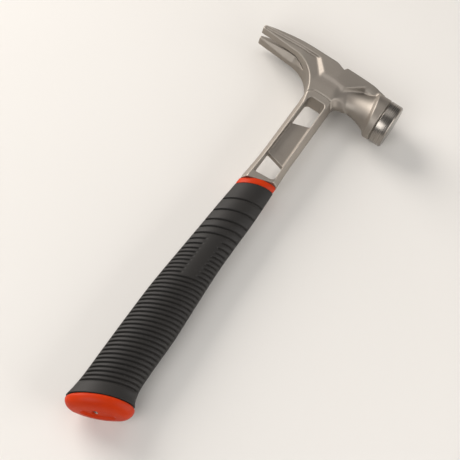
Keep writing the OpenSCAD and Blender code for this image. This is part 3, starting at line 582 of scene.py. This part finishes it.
groove_out = np.clip((1 - GROOVE_REACH * np.abs(np.cos(turns)) ** 3) / GROOVE_FADE, 0, 1)
rings = []
for y, left, right, half_t in zip(heights, along_grip(CLAW_SIDE), along_grip(FACE_SIDE), along_grip(HALF_T)):
    middle = (right - left) / 2
    end_r = half_t * (SIDE_ROUND - SIDE_LESS * part_way(y, SIDE_LESS_FROM, SIDE_LESS_TO))
    x, z = oval((left + right) / 2, half_t, end_r)
    nearest = int(np.argmin(np.abs(np.array(groove_ys) - y)))
    off = abs(groove_ys[nearest] - y) / GROOVE_HALF
    inset = GROOVE_DEPTH * (1 - min(off, 1) ** 2) ** 2
    if groove_ys[-1] < y < groove_ys[0]:
        inset = inset - RIB_CROWN * part_way(off, RIB_CROWN_FROM, RIB_CROWN_TO)
    inset = inset * groove_out
    if PANEL_FIRST <= nearest <= PANEL_LAST:
        inset = inset * part_way(np.abs(x + middle - PANEL_X), PANEL_HALF, PANEL_HALF + PANEL_EDGE)
    inset = inset + TOP_EDGE * part_way(y, GRIP_TOP - TOP_EDGE_H, GRIP_TOP)
    rings.append(slanted(x + middle - inset * np.cos(turns), z - inset * np.sin(turns), y, grip_slope(y)))
# The hole inside follows the core, whose oval is wider than it is thick, with narrow sides of a smaller radius
WALL, CORE_X, CORE_WIDER, CORE_TIGHTER = 2.6, -0.6, 5.832, 4.768
CORE_Y = (18.57, 25.2, 34.04, 53.93, 89.29, 133.49, 173.27, 206.42, 239.57)
CORE_T = (14.11, 14.18, 14.26, 14.4, 14.26, 12.82, 11.23, 10.22, 8.78)
for y, outer_t in list(zip(CORE_Y, CORE_T))[::-1]:
    half_t = outer_t - WALL
    x, z = oval(half_t + CORE_WIDER, half_t, half_t - CORE_TIGHTER)
    rings.append(slanted(x + CORE_X, z, y, grip_slope(y)))
grip = sleeve("grip_sleeve_ribbed", rings)

# Moulded thermoplastic rubber, black: matte and slightly soft in the light, greyer in patches rubbed by hands.
# The real grain is about 0.15 mm; it is drawn at 0.55 mm so that it still shows.
RUBBER_GRAIN, RUBBER_DEPTH, RUBBED_PATCH = 0.55, 0.05, 26.0
black_rubber, tree = blank("moulded_black_rubber")
where = add(tree, "TexCoord", {}).outputs["Object"]
grain = add(tree, "TexNoise", {"Vector": where, "Scale": 1 / (RUBBER_GRAIN * MM), "Detail": 2.0})
worn = add(tree, "TexNoise", {"Vector": where, "Scale": 1 / (RUBBED_PATCH * MM), "Detail": 4.0})
tint = add(tree, "Mix", {0: worn.outputs["Fac"], 6: linear("#191716"), 7: linear("#25221f")}, data_type="RGBA")
gloss = add(tree, "MapRange", {"Value": grain.outputs["Fac"], "To Min": 0.52, "To Max": 0.70})
relief = add(tree, "Bump", {"Height": grain.outputs["Fac"], "Strength": 0.3, "Distance": RUBBER_DEPTH * MM})
surface = add(tree, "BsdfPrincipled", {"IOR": 1.5, "Specular IOR Level": 0.4, "Base Color": tint.outputs[2],
                                       "Roughness": gloss.outputs["Result"], "Normal": relief.outputs["Normal"]})
add(tree, "OutputMaterial", {"Surface": surface.outputs["BSDF"]})
grip.data.materials.append(black_rubber)
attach(grip, "root")
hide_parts("grip_sleeve")


# End cap: a domed cap with an oval dish, wider than the grip's foot.
# ABS, injection-moulded, held on the tang by one screw in the dish.
CAP_X, CAP_W, CAP_T, CAP_ROUND, CAP_H = 1.2, 26.4, 17.4, 12.0, 11.0
CAP_LIP, LIP_TURN, LIP_HOLD = 2.0, 0.25, 0.18
SHOULDER_W, SHOULDER_H, SHOULDER_TURN = 9.0, 10.0, math.radians(75)
DISH_W, DISH_T, DISH_DEPTH, DISH_WALL = 14.0, 6.4, 1.8, 0.2
BORE_FROM, HOLE_TO = -8, 60
lean = math.radians(SEAM_SLANT)


def cap_ring(across, z, depth):
    """Ring of the cap: places along and across its seam, and a depth square to that seam."""
    off = np.hypot(across / DISH_W, z / DISH_T)
    depth = depth - DISH_DEPTH * eased(part_way(off, 1, 1 - DISH_WALL))
    x = CAP_X + across * math.cos(lean) + depth * math.sin(lean)
    y = SEAM_Y + across * math.sin(lean) - depth * math.cos(lean)
    return np.stack([x, y, z], 1)


rings = []
for turn in np.linspace(0, SHOULDER_TURN, 40):
    past_lip = max(turn - LIP_HOLD, 0) / (SHOULDER_TURN - LIP_HOLD) * SHOULDER_TURN
    inset = SHOULDER_W * (1 - math.cos(past_lip)) + CAP_LIP * (1 - math.sin(min(turn / LIP_TURN, 1) * math.pi / 2))
    half_t = CAP_T - inset
    x, z = oval(CAP_W - inset, half_t, CAP_ROUND * half_t / CAP_T)
    edge_depth = SHOULDER_H * math.sin(turn)
    rings.append(cap_ring(x, z, edge_depth))
for share in np.linspace(1, 0.002, 30)[1:]:
    rings.append(cap_ring(x * share, z * share, edge_depth + (CAP_H - edge_depth) * (1 - share * share)))
cap = solid("end_cap_domed", np.concatenate(rings), capped(rings))
washer_low, washer_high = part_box("cap_washer")
bore_r = (washer_high.x - washer_low.x) / 2 / MM + PLAY
bore = [(BORE_FROM, bore_r), ((washer_high - ORIGIN).y / MM, bore_r)]
merge(cap, turned("bore", bore, (screw_x, 0, 0), (0, 1, 0), 64), "DIFFERENCE")
hole = [(0, SCREW_HOLE), (HOLE_TO, SCREW_HOLE)]
merge(cap, turned("hole", hole, (screw_x, 0, 0), (0, 1, 0), 48), "DIFFERENCE")
cap.data.materials.clear()
cap.data.materials.append(orange_abs)
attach(cap, "root")
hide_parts("end_cap")


# Cap screw and washer: a socket-head screw in the dish, driven into the end of the tang.
# Zinc-plated steel, kept from the CAD model.
for node in ("cap_washer", "cap_screw"):
    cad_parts[node].material_slots[0].material = zinc_steel


# Floor, lamps and camera: a pale board under the hammer, four soft lamps, and a view from the photo's angle.
# Painted board, laid flat; the lamps are broad panels that all face the hammer.
FLOOR_HALF, FLOOR_GAP = 6.0, 0.0005
floor_corners = [(i * FLOOR_HALF, j * FLOOR_HALF, 0) for i, j in ((-1, -1), (1, -1), (1, 1), (-1, 1))]
floor_mesh = bpy.data.meshes.new("studio_floor")
floor_mesh.from_pydata(floor_corners, [], [(0, 1, 2, 3)])
floor = bpy.data.objects.new("studio_floor", floor_mesh)
floor.location.z = cad_box[0].z - FLOOR_GAP
bpy.context.scene.collection.objects.link(floor)

# Matte painted board: plain pale grey, with a trace of unevenness about 300 mm wide
BOARD_CLOUD = 300.0
painted_board, tree = blank("matte_painted_board")
where = add(tree, "TexCoord", {}).outputs["Object"]
cloud = add(tree, "TexNoise", {"Vector": where, "Scale": 1 / (BOARD_CLOUD * MM), "Detail": 2.0})
tint = add(tree, "Mix", {0: cloud.outputs["Fac"], 6: linear("#dedbd6"), 7: linear("#e3e0dc")}, data_type="RGBA")
surface = add(tree, "BsdfPrincipled", {"Roughness": 0.8, "Base Color": tint.outputs[2]})
add(tree, "OutputMaterial", {"Surface": surface.outputs["BSDF"]})
floor_mesh.materials.append(painted_board)

world = bpy.data.worlds.new("studio")
world.use_nodes = True
world.node_tree.nodes["Background"].inputs["Color"].default_value = linear("#c9c8c7")
world.node_tree.nodes["Background"].inputs["Strength"].default_value = 0.32
bpy.context.scene.world = world

# Each lamp: its place from the hammer's middle and its size in metres, its power in watts and its colour
middle = (cad_box[0] + cad_box[1]) / 2
for name, place, size, power, tone in (
    ("key_lamp", (-1.5, 0.35, 0.8), 1.2, 36.0, "#fffaf5"),
    ("top_lamp", (-0.15, 0.75, 1.25), 0.9, 2.2, "#fffdfb"),
    ("front_lamp", (-0.2, -1.05, 0.95), 0.8, 9.0, "#fdfcfb"),
    ("rim_lamp", (0.95, 0.1, 0.3), 0.9, 7.0, "#fffdfb"),
):
    lamp = bpy.data.lights.new(name, "AREA")
    lamp.size, lamp.energy, lamp.color = size, power, linear(tone)[:3]
    lamp_object = bpy.data.objects.new(name, lamp)
    lamp_object.location = middle + Vector(place)
    lamp_object.rotation_euler = Vector(place).to_track_quat("Z", "Y").to_euler()
    bpy.context.scene.collection.objects.link(lamp_object)

CAMERA_MM, TARGET_MM = (167.15, -672.5, 1334.8), (8.55, 9.08, 18.7)
ROLL, LENS, SENSOR = math.radians(21.42), 148.7, 36.0
back = (Vector(CAMERA_MM) - Vector(TARGET_MM)).normalized()
level = Vector((0, 0, 1)).cross(back).normalized()
upright = back.cross(level)
right = math.cos(ROLL) * level + math.sin(ROLL) * upright
up = math.cos(ROLL) * upright - math.sin(ROLL) * level
camera = bpy.data.objects.new("camera", bpy.data.cameras.new("camera"))
camera.data.lens, camera.data.sensor_width = LENS, SENSOR
camera.matrix_world = Matrix.Translation(Vector(CAMERA_MM) * MM) @ Matrix((right, up, back)).transposed().to_4x4()
bpy.context.scene.collection.objects.link(camera)
bpy.context.scene.camera = camera
bpy.context.scene.view_settings.view_transform = "Standard"
